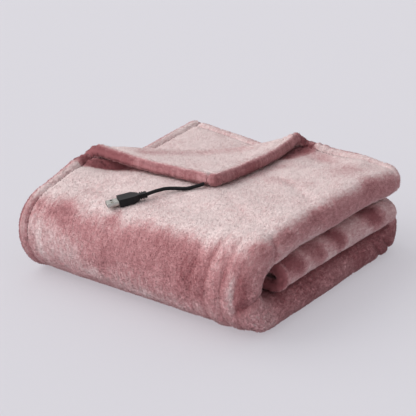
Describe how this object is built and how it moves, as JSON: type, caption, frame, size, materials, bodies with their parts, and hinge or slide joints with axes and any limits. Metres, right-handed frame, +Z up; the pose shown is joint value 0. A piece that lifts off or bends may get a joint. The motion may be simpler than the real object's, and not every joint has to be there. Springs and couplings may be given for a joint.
{
  "type": "electric heated blanket",
  "caption": "Plush heated blanket folded into a bundle, one back corner turned over, with its short lead and plug lying on top.",
  "frame": {"origin": "under the middle of the folded cloth, on the surface that it rests on", "axes": "X across the bundle from its hems to its doubled edge, Y from the round front nose to the back, Z up"},
  "size_m": [0.3132, 0.3318, 0.1283],
  "materials": {
    "rose_plush": "short brushed plush pile",
    "lead_jacket": "satin black jacket",
    "moulded_grip": "fine moulded texture",
    "plated_steel": "bright plated sheet metal",
    "tongue_plastic": "smooth moulded plastic"
  },
  "bodies": {
    "root": {"blanket_cloth": "rose_plush", "power_cord": "lead_jacket", "plug_overmould": "moulded_grip", "plug_shell": "plated_steel", "plug_tongue": "tongue_plastic"}
  },
  "joints": []
}
